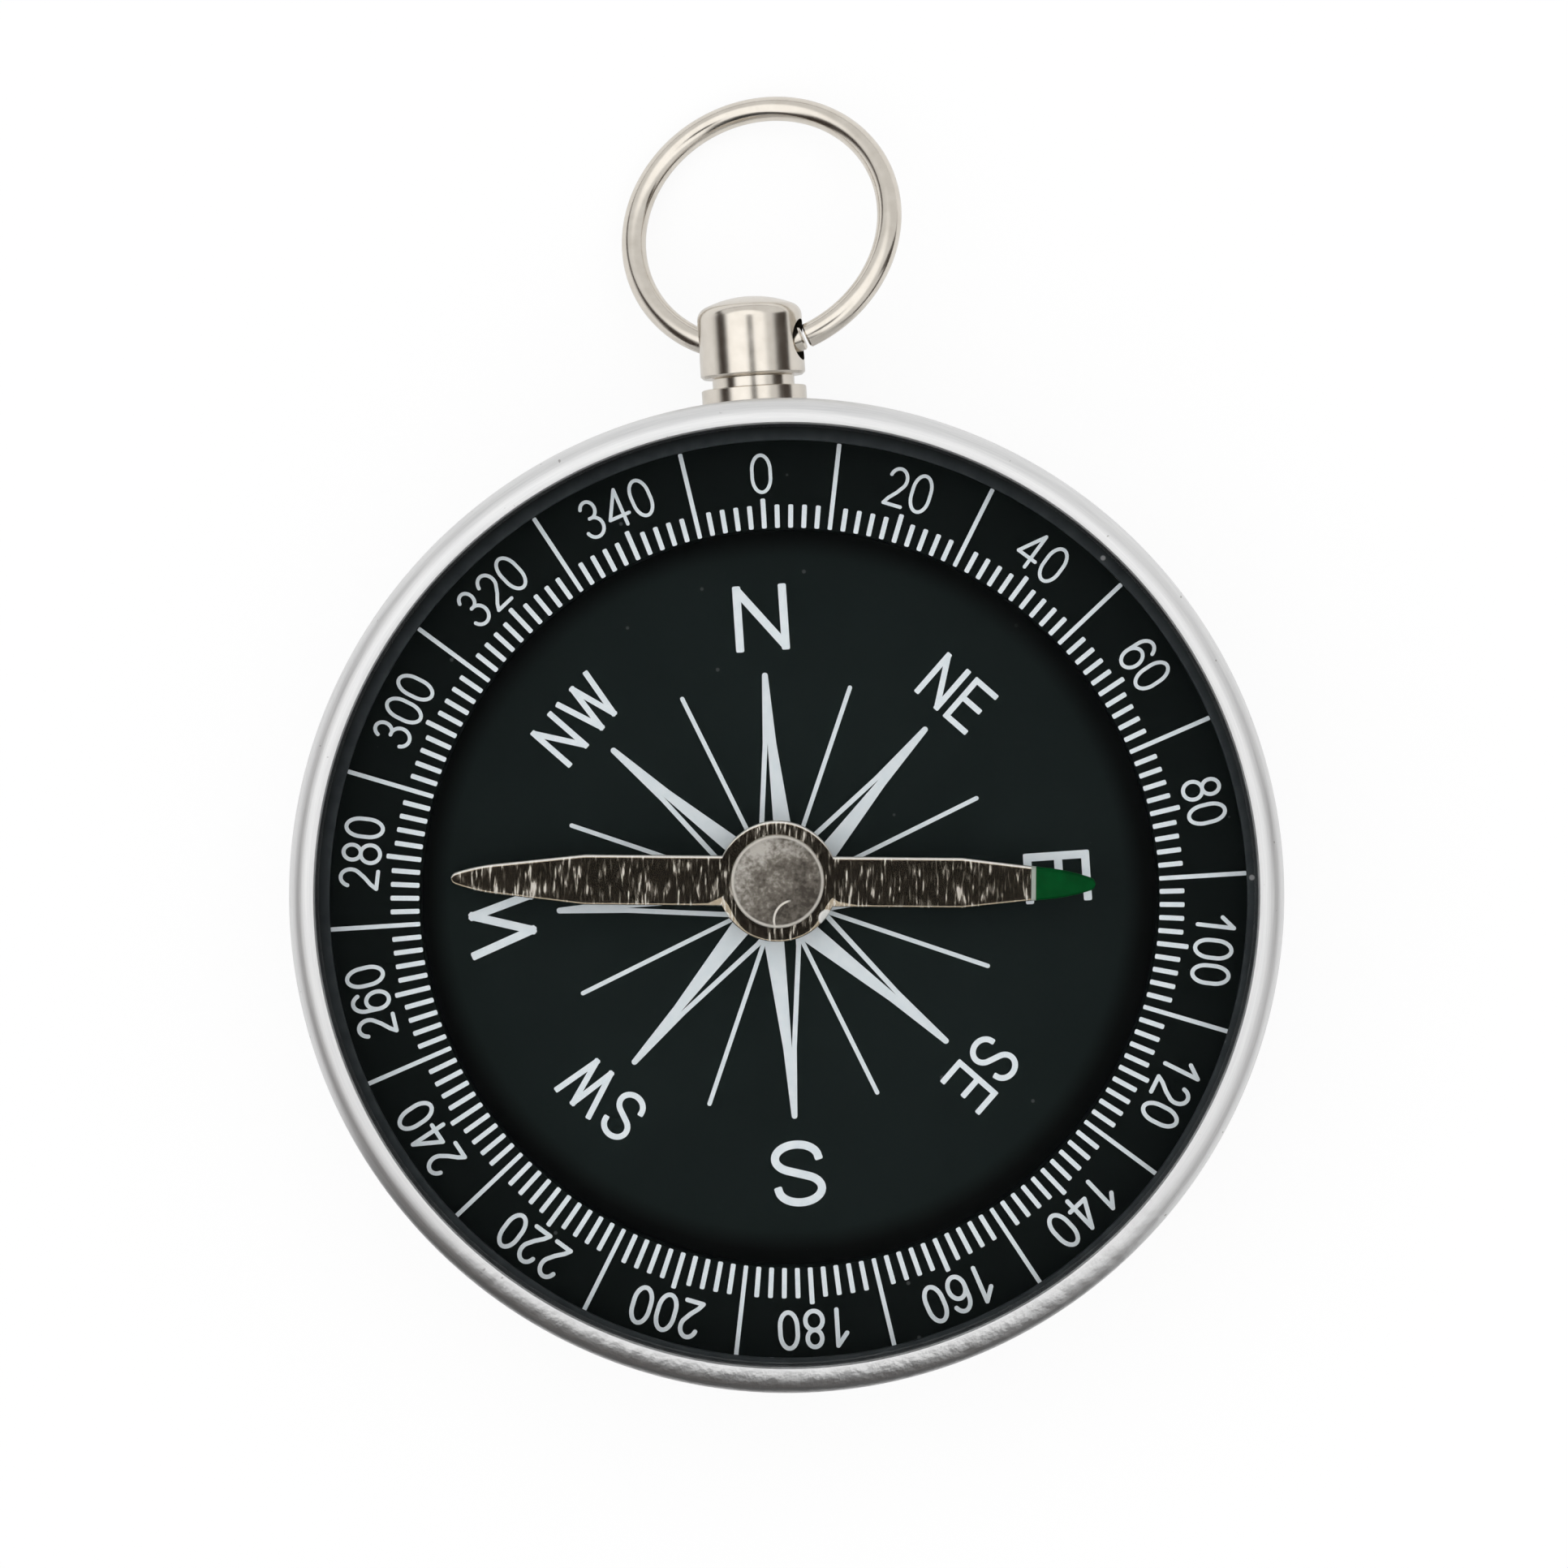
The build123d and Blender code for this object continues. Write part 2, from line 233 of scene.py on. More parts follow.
case_profile = np.vstack([
    straight((0, 0), (case_radius - back_radius, 0)),
    bend((case_radius - back_radius, back_radius), back_radius, -90, 0),
    straight((case_radius, back_radius), (case_radius, case_height - roll_radius)),
    bend((case_radius - roll_radius, case_height - roll_radius), roll_radius, 0, 90, steps=16),
    bend((crest_radius, case_height - lip_edge), lip_edge, 90, 180, steps=6),
    straight((lip_radius, case_height - lip_edge), (lip_radius, crystal_top)),
    straight((lip_radius, crystal_top), (inner_radius, crystal_top)),
    straight((inner_radius, crystal_top), (inner_radius, case_floor + corner_radius)),
    bend((inner_radius - corner_radius, case_floor + corner_radius), corner_radius, 0, -90),
    straight((inner_radius - corner_radius, case_floor), (0, case_floor)),
])
case = surface("case_shell", turned(case_profile))
tail_hole = np.array([
    (0, inner_radius - case_wall), (tail_hole_radius, inner_radius - case_wall),
    (tail_hole_radius, case_radius + case_wall), (0, case_radius + case_wall)])
drill(case, surface("tail_drill", turned(tail_hole, 48)[..., [1, 2, 0]] + (0, 0, stem_height)))


def satin_aluminium():
    """Bright aluminium with fine lines round the axis and small grey specks. The rim's crest is dented
    in the south."""
    material, tree, shader = finish("satin_aluminium", Metallic=1.0)
    grain = lathe_grain(tree, 9.0, 16000.0)
    place = add(tree, "TexCoord")["Object"]
    speck = noise(tree, place, 2600.0, 1.0)
    pitted = ramp(tree, speck, (0.76, (0, 0, 0)), (0.80, (1, 1, 1)))
    tone = ramp(tree, grain, (0.25, (0.66, 0.66, 0.665)), (0.75, (0.78, 0.78, 0.775)))
    tree.links.new(blend(tree, pitted, tone, (0.42, 0.41, 0.40, 1)), shader["Base Color"])
    tree.links.new(remap(tree, grain, 0, 1, 0.4, 0.52), shader["Roughness"])
    part = add(tree, "SeparateXYZ", {0: place})
    south = remap(tree, part["Y"], dents_start, dents_full)
    crest = remap(tree, part["Z"], case_height - roll_radius, case_height - 0.3 * roll_radius)
    dent = calc(tree, "MULTIPLY", noise(tree, place, 1500.0, 3.0), calc(tree, "MULTIPLY", south, crest))
    height = calc(tree, "MULTIPLY_ADD", dent, 60.0, grain)
    tree.links.new(bump(tree, height, 0.12, 0.02 * mm), shader["Normal"])
    return material


case.data.materials.append(satin_aluminium())
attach(case, "case")
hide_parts("case")

# Carrier
# The ribbed disc under the dial, moulded in black plastic and dropped into the cup. It
# holds the pivot and keeps the dial clear of the case's back.


def dress(node, material):
    """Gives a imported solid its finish."""
    solid = frame["nodes"][node]
    solid.data.materials.clear()
    solid.data.materials.append(material)


def moulded_black():
    """Black plastic with a fine moulded grain."""
    material, tree, shader = finish("moulded_black", Specular_IOR_Level=0.25)
    place = add(tree, "TexCoord")["Object"]
    cloud = noise(tree, place, 5000.0)
    tone = ramp(tree, cloud, (0.3, (0.006, 0.007, 0.0075)), (0.7, (0.011, 0.012, 0.0125)))
    tree.links.new(tone, shader["Base Color"])
    tree.links.new(remap(tree, cloud, 0, 1, 0.42, 0.6), shader["Roughness"])
    tree.links.new(bump(tree, cloud, 0.1, 0.01 * mm), shader["Normal"])
    return material


black_plastic = moulded_black()
dress("dial_base", black_plastic)

# Pivot post and pin
# A turned brass post pressed through the dial into the carrier, and in it a hardened
# steel pin, ground to the point that the needle rides on.


def turned_metal(name, dark, light, roughness):
    """Turned metal whose colour and gloss wander a little, as on a lathe-cut face."""
    material, tree, shader = finish(name, Metallic=1.0)
    cloud = noise(tree, add(tree, "TexCoord")["Object"], 3000.0, 3.0)
    tree.links.new(ramp(tree, cloud, (0.3, dark), (0.7, light)), shader["Base Color"])
    gloss = remap(tree, cloud, 0, 1, 0.75 * roughness, 1.25 * roughness)
    tree.links.new(gloss, shader["Roughness"])
    return material


dress("pivot_post", turned_metal("turned_brass", (0.55, 0.37, 0.13), (0.72, 0.52, 0.22), 0.28))
dress("pivot_pin", turned_metal("pin_steel", (0.42, 0.42, 0.43), (0.56, 0.56, 0.57), 0.2))

# Dial
# A thin disc enamelled satin black, laid on the carrier, with a few dust specks on it. Its
# margin in front of the scale ring is darkened by a painted shadow of the raised ring.
dial_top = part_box("dial")[1].z
dial_unshaded_radius = 15.15 * mm
shadow_fade = 0.9 * mm


def black_enamel(name, level, shadow_start):
    """Satin black enamel with a faint cloudiness and sparse dust specks, and a painted shadow that
    darkens it from the shadow start outward."""
    material, tree, shader = finish(name, Specular_IOR_Level=0.03, Roughness=0.5)
    place = add(tree, "TexCoord")["Object"]
    cloud = noise(tree, place, 180.0, 3.0)
    thin, full = np.array((0.0088, 0.0135, 0.0130)) * level, np.array((0.0106, 0.0160, 0.0154)) * level
    tone = ramp(tree, cloud, (0.3, tuple(thin)), (0.7, tuple(full)))
    grit = add(tree, "TexVoronoi", {"Vector": place, "Scale": 420.0})["Distance"]
    dust = ramp(tree, grit, (0.028, (1, 1, 1)), (0.045, (0, 0, 0)))
    dusty = blend(tree, dust, tone, (0.06, 0.065, 0.065, 1))
    radius = measure(tree, "LENGTH", combine(tree, "MULTIPLY", place, (1, 1, 0)))
    # Painted shadow: darker from the shadow start outward, where the raised scale ring shades the dial.
    painted_shadow = remap(tree, radius, shadow_start, shadow_start + shadow_fade, 0, 0.92)
    tree.links.new(blend(tree, painted_shadow, dusty, (0.002, 0.0025, 0.0025, 1)), shader["Base Color"])
    tree.links.new(bump(tree, noise(tree, place, 6000.0), 0.05, 0.01 * mm), shader["Normal"])
    return material


dress("dial", black_enamel("dial_enamel", 1.0, dial_unshaded_radius))

# Compass rose
# Eight points and eight thin rays in pale grey ink, printed on the dial a little off its
# middle. Each point is solid on its clockwise half and an outline on the other.
rose_middle = np.array((-0.315, -0.07)) * mm
rose_turn = -0.16
rose_reach = 10.03 * mm
rose_start = 1.6 * mm
point_half_width = 1.06 * mm
point_end = 0.13 * mm
sliver_reach = 6.85 * mm
sliver_half_width = 0.305 * mm
sliver_start = -0.05 * mm
outline_width = 0.22 * mm
ray_start = 2.2 * mm
ray_reach = 9.95 * mm
ray_width = 0.195 * mm
ink_height = 0.02 * mm
ink_step = 0.0015 * mm


def film(left, right, base, height, capped=True):
    """A thin closed layer between two edge curves in the plane, from the base up by the height.
    Its section is a flat rectangle, drawn together at both ends where it is capped."""
    sides = [(left, base), (left, base + height), (right, base + height), (right, base)]
    grid = np.stack([np.column_stack([edge, np.full(len(edge), z)]) for edge, z in sides], axis=1)
    if not capped:
        return grid
    ends = np.repeat(grid[[0, -1]].mean(axis=1, keepdims=True), 4, axis=1)
    return np.concatenate([ends[:1], grid, ends[1:]])


def on_dial(path, bearing, middle=(0, 0)):
    """A path of (across, outward) turned to a bearing round a middle: outward is (sin, cos) of the
    bearing and across, to the right of it, is (cos, -sin)."""
    angle = np.radians(bearing)
    across, outward = path[:, :1], path[:, 1:]
    right, ahead = np.array((np.cos(angle), -np.sin(angle))), np.array((np.sin(angle), np.cos(angle)))
    return np.array(middle) + across * right + outward * ahead


def pen_line(path, width, corner):
    """The edges of a line drawn along a path: the path, carried on by half the width at both ends,
    set off to both sides by half the width, which draws in at the ends along the corner's quarter
    circle. A path that returns to its start is left as long as it is."""
    closed = np.allclose(path[0], path[-1])
    if not closed:
        leads = np.array([path[0] - path[1], path[-1] - path[-2]])
        leads *= width / 2 / np.linalg.norm(leads, axis=1, keepdims=True)
        path = np.vstack([path[0] + leads[0], path[1:-1], path[-1] + leads[1]])
    steps = np.linalg.norm(np.diff(path, axis=0), axis=1)
    length = np.concatenate([[0], np.cumsum(steps)])
    ease = corner * (1 - np.cos(np.radians(np.linspace(0, 90, 5))))
    station = length if closed else np.unique(np.concatenate([length, ease, length[-1] - ease]))
    spot = np.column_stack([np.interp(station, length, places) for places in path.T])
    heading = np.gradient(spot, station, axis=0)
    if closed:
        heading[[0, -1]] = heading[0] + heading[-1]
    heading /= np.linalg.norm(heading, axis=1, keepdims=True)
    inset = np.clip(corner - np.minimum(station, length[-1] - station), 0, corner) * (not closed)
    half = width / 2 - corner + np.sqrt(corner**2 - inset**2)
    offset = half[:, None] * np.column_stack([-heading[:, 1], heading[:, 0]])
    return spot + offset, spot - offset


def white_ink(name, level):
    """Pale screen ink, a little uneven in cover."""
    material, tree, shader = finish(name, Roughness=0.55, Specular_IOR_Level=0.3)
    place = add(tree, "TexCoord")["Object"]
    cloud = noise(tree, place, 2200.0, 3.0)
    thin, full = np.array((0.86, 0.93, 0.97)) * level, np.array((0.95, 1.0, 1.03)) * level
    tree.links.new(ramp(tree, cloud, (0.3, tuple(thin)), (0.7, tuple(full))), shader["Base Color"])
    tree.links.new(bump(tree, cloud, 0.08, 0.01 * mm), shader["Normal"])
    return material


def rose_films():
    """The rose's films. A point's edges run straight in to the end of its dark sliver, then more slowly
    to a round tip, kept within its eighth of the circle. The solid half ends a little past the
    middle, and the outline is a band of even width, laid over it where they meet."""
    round_start = rose_reach - point_end
    reach = np.concatenate([
        np.linspace(rose_start, sliver_reach, 16), np.linspace(sliver_reach, round_start, 8)[1:],
        round_start + point_end * np.sin(np.linspace(0, np.pi / 2, 7))[1:]])
    widths = [point_half_width, sliver_half_width, point_end]
    edge = np.interp(reach, [0, sliver_reach, round_start], widths)
    tip = np.sqrt(np.clip(point_end**2 - (reach - round_start) ** 2, 0, None))
    edge = np.minimum(np.where(reach > round_start, tip, edge), reach * np.tan(np.pi / 8))
    sliver_tip = outline_width - sliver_half_width
    inner = np.interp(reach, [0, sliver_reach, rose_reach], [sliver_start, sliver_tip, sliver_tip])
    inner = np.maximum(inner, -edge)
    outline = np.minimum(outline_width - edge, edge)
    ray = np.array([(0, ray_start), (0, ray_reach - ray_width / 2)])
    for eighth in range(8):
        bearing = 45 * eighth + rose_turn
        for sides, rise in (((inner, edge), 0), ((-edge, outline), ink_step)):
            paths = (np.column_stack([side, reach]) for side in sides)
            edges = (on_dial(path, bearing, rose_middle) for path in paths)
            yield film(*edges, dial_top, ink_height + rise)
        line = on_dial(ray, bearing + 22.5, rose_middle)
        yield film(*pen_line(line, ray_width, ray_width / 2), dial_top, ink_height + 2 * ink_step)


rose = surface("compass_rose", *rose_films())
rose.data.materials.append(white_ink("rose_ink", 0.91))
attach(rose, "case")

# Dial letters
# The four chief directions in large letters and the four between them in small ones, in
# the same ink, each with its head outward.
letter_reach = 12.49 * mm
letter_height = 2.97 * mm
letter_stroke = 0.365 * mm
letter_widths = {"N": 2.42 * mm, "E": 2.27 * mm, "S": 2.43 * mm, "W": 3.87 * mm}
between_reach = 12.05 * mm
between_height = 2.34 * mm
between_stroke = 0.26 * mm
between_widths = {"N": 1.4 * mm, "E": 1.34 * mm, "S": 1.44 * mm, "W": 2.13 * mm}
between_gap = 0.3 * mm
square_end = 0.22
round_end = 0.5


def oval(middle, radii, start, end):
    """An upright ellipse's arc, in shares of a letter's box."""
    angle = np.radians(np.linspace(start, end, int(abs(end - start) / 10) + 2))
    return np.array(middle) + np.array(radii) * np.column_stack([np.cos(angle), np.sin(angle)])


letter_shares = {
    "N": [(square_end, [(0, 0), (0, 1)]), (round_end, [(0, 1), (1, 0)]),
          (square_end, [(1, 0), (1, 1)])],
    "E": [(square_end, [(0, 0), (0, 1)]), (square_end, [(0, 1), (1, 1)]),
          (square_end, [(0, 0.53), (0.88, 0.53)]), (square_end, [(0, 0), (1, 0)])],
    "S": [(square_end, np.vstack([oval((0.48, 0.765), (0.47, 0.235), 5, 245),
                                  oval((0.52, 0.235), (0.47, 0.235), 65, -175)]))],
    "W": [(square_end, [(0, 1), (0.276, 0)]), (square_end, [(0.276, 0), (0.5, 1)]),
          (square_end, [(0.5, 1), (0.724, 0)]), (square_end, [(0.724, 0), (1, 1)])],
}


def lettering(text, shapes, widths, gap, height, stroke, bearing, reach, base, middle=(0, 0)):
    """Films of a word's strokes, each with its share of the stroke as corner. A letter's box is its width
    by the height, less the stroke, and the letters stand side by side about the bearing."""
    left = -(sum(widths[letter] for letter in text) + gap * (len(text) - 1)) / 2
    for letter in text:
        box = np.array((widths[letter], height)) - stroke
        corner = np.array((left + stroke / 2, reach - box[1] / 2))
        left += widths[letter] + gap
        for order, (corner_share, share) in enumerate(shapes[letter]):
            path = on_dial(corner + np.array(share) * box, bearing, middle)
            loop = np.allclose(path[0], path[-1])
            edges = pen_line(path, stroke, corner_share * stroke)
            yield film(*edges, base, ink_height + order * ink_step, capped=not loop)


letters = []
for bearing, letter in ((0, "N"), (90, "E"), (180, "S"), (270, "W")):
    letters += lettering(letter, letter_shares, letter_widths, 0, letter_height, letter_stroke,
                         bearing + rose_turn, letter_reach, dial_top, rose_middle)
for bearing, word in ((45, "NE"), (135, "SE"), (225, "SW"), (315, "NW")):
    letters += lettering(word, letter_shares, between_widths, between_gap, between_height, between_stroke,
                         bearing + rose_turn, between_reach, dial_top, rose_middle)
dial_letters = surface("dial_letters", *letters)
scale_ink = white_ink("scale_ink", 1.0)
dial_letters.data.materials.append(scale_ink)
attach(dial_letters, "case")

# Scale ring
# A raised ring of plastic, satin black like the dial and bevelled at its inner edge, which
# carries the degrees. It is glued to the dial a little south of the case's middle, and its
# hole is cut a little north of its own.
scale_low, scale_high = (np.array(corner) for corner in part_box("scale_ring"))
scale_middle = (scale_low + scale_high)[:2] / 2
scale_radius = (scale_high - scale_low)[0] / 2
scale_top = scale_high[2]
scale_hole_middle = scale_middle + np.array((0.054, 0.096)) * mm
scale_inner_radius = 16.46 * mm
scale_bevel = 0.05 * mm
scale_profile = np.array([
    (scale_inner_radius, dial_top), (scale_radius, dial_top), (scale_radius, scale_top),
    (scale_inner_radius + scale_bevel, scale_top), (scale_inner_radius, scale_top - scale_bevel),
    (scale_inner_radius, dial_top)])
scale_outside = np.array([0, 1, 1, 0, 0, 0])[:, None, None]
scale_middles = np.where(scale_outside, (*scale_middle, 0), (*scale_hole_middle, 0))
scale = surface("scale_band", turned(scale_profile) + scale_middles)
scale.data.materials.append(black_enamel("scale_enamel", 0.5, case_radius))
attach(scale, "case")
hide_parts("scale_ring")

# Degree scale
# Ticks at every second degree, longer ones at the numbers and full lines half way between
# them, with a number at every twentieth degree, all in pale ink, laid on heavier in the south.
scale_turn = 0.17
print_middle = scale_middle + np.array((-0.045, -0.055)) * mm
tick_start = scale_inner_radius + scale_bevel
tick_end = 17.71 * mm
number_tick_end = 18.0 * mm
tick_width = 0.217 * mm
tick_corner_share = 0.3
line_end = 20.48 * mm
line_width = 0.195 * mm
number_reach = 19.11 * mm
number_height = 1.81 * mm
number_stroke = 0.178 * mm
heavier_share = 0.13
number_gap = 0.17 * mm
digit_widths = {"0": 0.97 * mm, "1": 0.92 * mm, "2": 0.96 * mm, "3": 0.96 * mm, "4": 1.07 * mm,
                "6": 0.97 * mm, "8": 0.97 * mm}
digit_paths = {
    "0": [np.vstack([oval((0.5, 0.6), (0.5, 0.4), 0, 180), oval((0.5, 0.4), (0.5, 0.4), 180, 360),
                     [(1, 0.6)]])],
    "1": [[(0.62, 0), (0.62, 1)], [(0.62, 1), (0.04, 0.66)]],
    "2": [np.vstack([oval((0.5, 0.72), (0.47, 0.28), 165, -35),
                     [(0.6, 0.36), (0.22, 0.16), (0.02, 0)]]), [(0.02, 0), (1, 0)]],
    "3": [np.vstack([oval((0.46, 0.765), (0.4, 0.235), 160, -75), [(0.38, 0.535)]]),
          oval((0.47, 0.27), (0.5, 0.27), 80, -160)],
    "4": [[(0.72, 0), (0.72, 1)], [(0.72, 1), (0, 0.27)], [(0, 0.27), (1, 0.27)]],
    "6": [np.vstack([oval((0.52, 0.66), (0.5, 0.34), 30, 180), [(0.01, 0.315)]]),
          oval((0.5, 0.315), (0.49, 0.315), 0, 360)],
    "8": [oval((0.5, 0.765), (0.42, 0.235), 0, 360), oval((0.5, 0.265), (0.5, 0.265), 0, 360)],
}
digit_shares = {digit: [(round_end, path) for path in paths] for digit, paths in digit_paths.items()}


def scale_films():
    """The scale's films: at each second degree a pen line outward from the ring's hole, and the
    numbers. Along a line from the print's middle, the edge of the hole lies further off by as much
    as the hole's middle lies ahead, and the same holds for the ring's outer edge."""
    for degree in range(0, 360, 2):
        ahead = on_dial(np.array([(0, 1)]), degree + scale_turn)[0]
        start = tick_start + ahead @ (scale_hole_middle - print_middle)
        if degree % 20 == 10:
            end, width = line_end + ahead @ (scale_middle - print_middle), line_width
        elif degree % 20 == 0:
            end, width = number_tick_end, tick_width
        else:
            end, width = tick_end, tick_width
        line = np.array([(0, start + width / 2), (0, end - width / 2)])
        line = on_dial(line, degree + scale_turn, print_middle)
        yield film(*pen_line(line, width, tick_corner_share * width), scale_top, ink_height)
    for degree in range(0, 360, 20):
        stroke = number_stroke * (1 - heavier_share * np.cos(np.radians(degree)))
        yield from lettering(str(degree), digit_shares, digit_widths, number_gap, number_height,
                             stroke, degree + scale_turn, number_reach, scale_top, print_middle)


degrees = surface("degree_scale", *scale_films())
degrees.data.materials.append(scale_ink)
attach(degrees, "case")

# Needle
# A blade stamped from steel strip, ground across its length and left bright, with a round
# hub. It is magnetised and swings on the pivot.
pivot = np.array(frame["joints"][0]["pos_m"])[:2]
blade_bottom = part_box("needle")[0].z
blade_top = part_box("needle")[1].z
needle_bearing = 94.2
hub_radius = 2.71 * mm
blade_half_width = 1.12 * mm
nose_half_width = 0.67 * mm
taper_start = 8.22 * mm
taper_end = 12.22 * mm
nose_end = 14.69 * mm
tip_radius = 0.29 * mm
tail_extra = 0.38 * mm
blade_edge = 0.07 * mm
blade_margin = 0.03 * mm
flat_place = 2.25 * mm
flat_spread = 0.42 * mm
flat_width = 0.4 * mm
flat_drop = 0.1 * mm
bevel_width = 0.05 * mm
bevel_drop = 0.02 * mm
glint_spots = (((2.2 * mm, -1.62 * mm, 0), 0.4 * mm), ((-2.36 * mm, -1.62 * mm, 0), 0.27 * mm))
edge_glint_depth = 0.012 * mm
shank_hole_radius = 1.31 * mm
taper_slope = np.arctan2(nose_half_width - blade_half_width, taper_end - taper_start)
nose_chord = np.array((nose_end - taper_end, -nose_half_width))
nose_turn = taper_slope - np.arctan2(nose_chord[1], nose_chord[0])
nose_radius = np.linalg.norm(nose_chord) / (2 * np.sin(nose_turn))
nose_center = np.array((taper_end, nose_half_width)) + nose_radius * np.array(
    (np.sin(taper_slope), -np.cos(taper_slope)))
tip_center = nose_center[0] + np.sqrt((nose_radius - tip_radius) ** 2 - nose_center[1] ** 2)
tip_slope = np.arctan2(tip_center - nose_center[0], -nose_center[1])
tip_start = tip_center + tip_radius * np.sin(tip_slope)


def half_width(x):
    """Half the blade's width at a distance from the pivot: the wider of the hub's circle and the arm,
    which runs straight, tapers, bows in along an arc that carries the taper on, and ends round. The
    tail, on the negative side, runs straight for a little longer."""
    reach = np.where(x < 0, -x - tail_extra, x)
    hub = np.sqrt(np.clip(hub_radius**2 - x**2, 0, None))
    arm = np.interp(reach, [taper_start, taper_end], [blade_half_width, nose_half_width])
    bow = nose_center[1] + np.sqrt(nose_radius**2 - np.clip(reach - nose_center[0], 0, nose_radius) ** 2)
    tip = np.sqrt(np.clip(tip_radius**2 - (reach - tip_center) ** 2, 0, None))
    arm = np.where(reach > tip_start, tip, np.where(reach > taper_end, bow, arm))
    return np.maximum(hub, arm)


def blade(station, growth):
    """A flat bar along the needle whose half width follows the outline: at each station a section with
    a square foot and eased top edges, all of it grown outward by the growth. The north edge is
    bevelled. The south edge is filed down beside the hub, by a bell curve along the needle."""
    half = half_width(station)[:, None]
    ease = np.minimum(blade_edge, half)
    angle = np.radians(np.linspace(0, 90, 5))
    side = half - ease + (ease + growth) * np.cos(angle)
    rise = blade_top - ease + (ease + growth) * np.sin(angle)
    foot, top = np.full_like(half, blade_bottom), np.full_like(half, blade_top + growth)
    filed = np.exp(-(((np.abs(station) - flat_place) / flat_spread) ** 2))[:, None]
    north = np.maximum(side[:, -1:] - bevel_width, 0)
    south = np.maximum(side[:, -1:] - blade_margin - flat_width * filed, 0)
    inner_north, inner_south = np.maximum(north - blade_margin, 0), np.maximum(south - blade_margin, 0)
    flat = np.hstack([north, inner_north, -inner_south, -south])
    across = np.hstack([half + growth, side, flat, -side[:, ::-1], -half - growth])
    north_drop = bevel_drop * np.minimum(half / (2 * bevel_width), 1)
    south_rise = rise[:, ::-1] - flat_drop * filed
    height = np.hstack([foot, rise - north_drop, np.repeat(top, 4, axis=1), south_rise, foot])
    along = np.repeat(station[:, None], across.shape[1], axis=1)
    turn = np.radians(needle_bearing)
    x = pivot[0] + along * np.sin(turn) - across * np.cos(turn)
    y = pivot[1] + along * np.cos(turn) + across * np.sin(turn)
    grid = np.stack([x, y, height], axis=2)
    ends = np.repeat(grid[[0, -1]].mean(axis=1, keepdims=True), grid.shape[1], axis=1)
    return np.concatenate([ends[:1], grid, ends[1:]])


hub_join = np.arcsin(np.sqrt(1 - (blade_half_width / hub_radius) ** 2))
nose_stations = np.concatenate([
    np.linspace(taper_end, tip_start, 14),
    tip_center + tip_radius * np.sin(np.linspace(tip_slope, np.pi / 2, 7))[1:]])
hub_stations = hub_radius * np.sin(np.linspace(-hub_join, hub_join, 59))
arm_stations = np.concatenate([
    np.linspace(hub_radius, taper_start, 8), np.linspace(taper_start, taper_end, 6)[1:-1], nose_stations])
blade_stations = np.concatenate([-tail_extra - arm_stations[::-1], hub_stations, arm_stations])
needle = surface("needle_blade", blade(blade_stations, 0))
shank_hole = np.array([
    (0, blade_bottom - mm), (shank_hole_radius, blade_bottom - mm),
    (shank_hole_radius, blade_top + mm), (0, blade_top + mm)])
drill(needle, surface("shank_drill", turned(shank_hole, 48) + (*pivot, 0)))


def along_needle(tree):
    """Places on the needle: x along it towards the green end, y across it, from the pivot."""
    place = add(tree, "TexCoord")["Object"]
    turn = {"Vector": place, "Location": (*pivot, 0), "Rotation": (0, 0, np.radians(90 - needle_bearing))}
    return add(tree, "Mapping", turn, vector_type="TEXTURE")[0]


def ground_steel():
    """Polished dark steel with bright scratches across it, rough where they scatter the light, with a
    painted highlight along its north edge and two painted glints on the hub's edge."""
    material, tree, shader = finish("ground_steel", Metallic=1.0)
    place = along_needle(tree)
    drawn = combine(tree, "MULTIPLY", place, (1.0, 0.16, 1.0))
    scratch = noise(tree, drawn, 7600.0, 2.0)
    patch = noise(tree, place, 700.0, 2.0)
    score = calc(tree, "ADD", scratch, calc(tree, "MULTIPLY", patch, 0.3))
    tone = ramp(tree, score, (0.68, (0.33, 0.275, 0.205)), (0.9, (0.66, 0.62, 0.56)))
    flat = combine(tree, "MULTIPLY", place, (1, 1, 0))
    # Painted glints: white spots at the hub's edge, and a pale line on the north edge where light
    # catches.
    spot_glints = []
    for spot, size in glint_spots:
        spot_glints.append(remap(tree, measure(tree, "DISTANCE", flat, spot), size, 0.75 * size))
    part = add(tree, "SeparateXYZ", {0: place})
    edge = remap(tree, part["Z"], blade_top, blade_top - edge_glint_depth)
    north = calc(tree, "MULTIPLY", calc(tree, "GREATER_THAN", part["Y"], 0.0), 0.6)
    painted_glint = calc(tree, "MAXIMUM", calc(tree, "MAXIMUM", *spot_glints), calc(tree, "MULTIPLY", edge, north))
    tree.links.new(blend(tree, painted_glint, tone, (0.96, 0.95, 0.92, 1)), shader["Base Color"])
    gloss = ramp(tree, score, (0.64, (0.09, 0.09, 0.09)), (0.77, (0.2, 0.2, 0.2)),
                 (0.9, (0.45, 0.45, 0.45)))
    tree.links.new(calc(tree, "MAXIMUM", gloss, calc(tree, "MULTIPLY", painted_glint, 0.6)), shader["Roughness"])
    tree.links.new(bump(tree, scratch, 0.1, 0.01 * mm), shader["Normal"])
    return material


needle.data.materials.append(ground_steel())
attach(needle, "needle")
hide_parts("needle")

# Green end
# Green enamel brushed over the tip that points north, as a skin on the steel, with a pale
# ridge where the paint stopped.
paint_start = 11.33 * mm
ridge_end = paint_start + 0.17 * mm
ridge_fade = 0.051 * mm
paint_height = 0.012 * mm
paint_stations = np.concatenate([np.linspace(paint_start, taper_end, 8)[:-1], nose_stations])
green_end = surface("green_end", blade(paint_stations, paint_height))


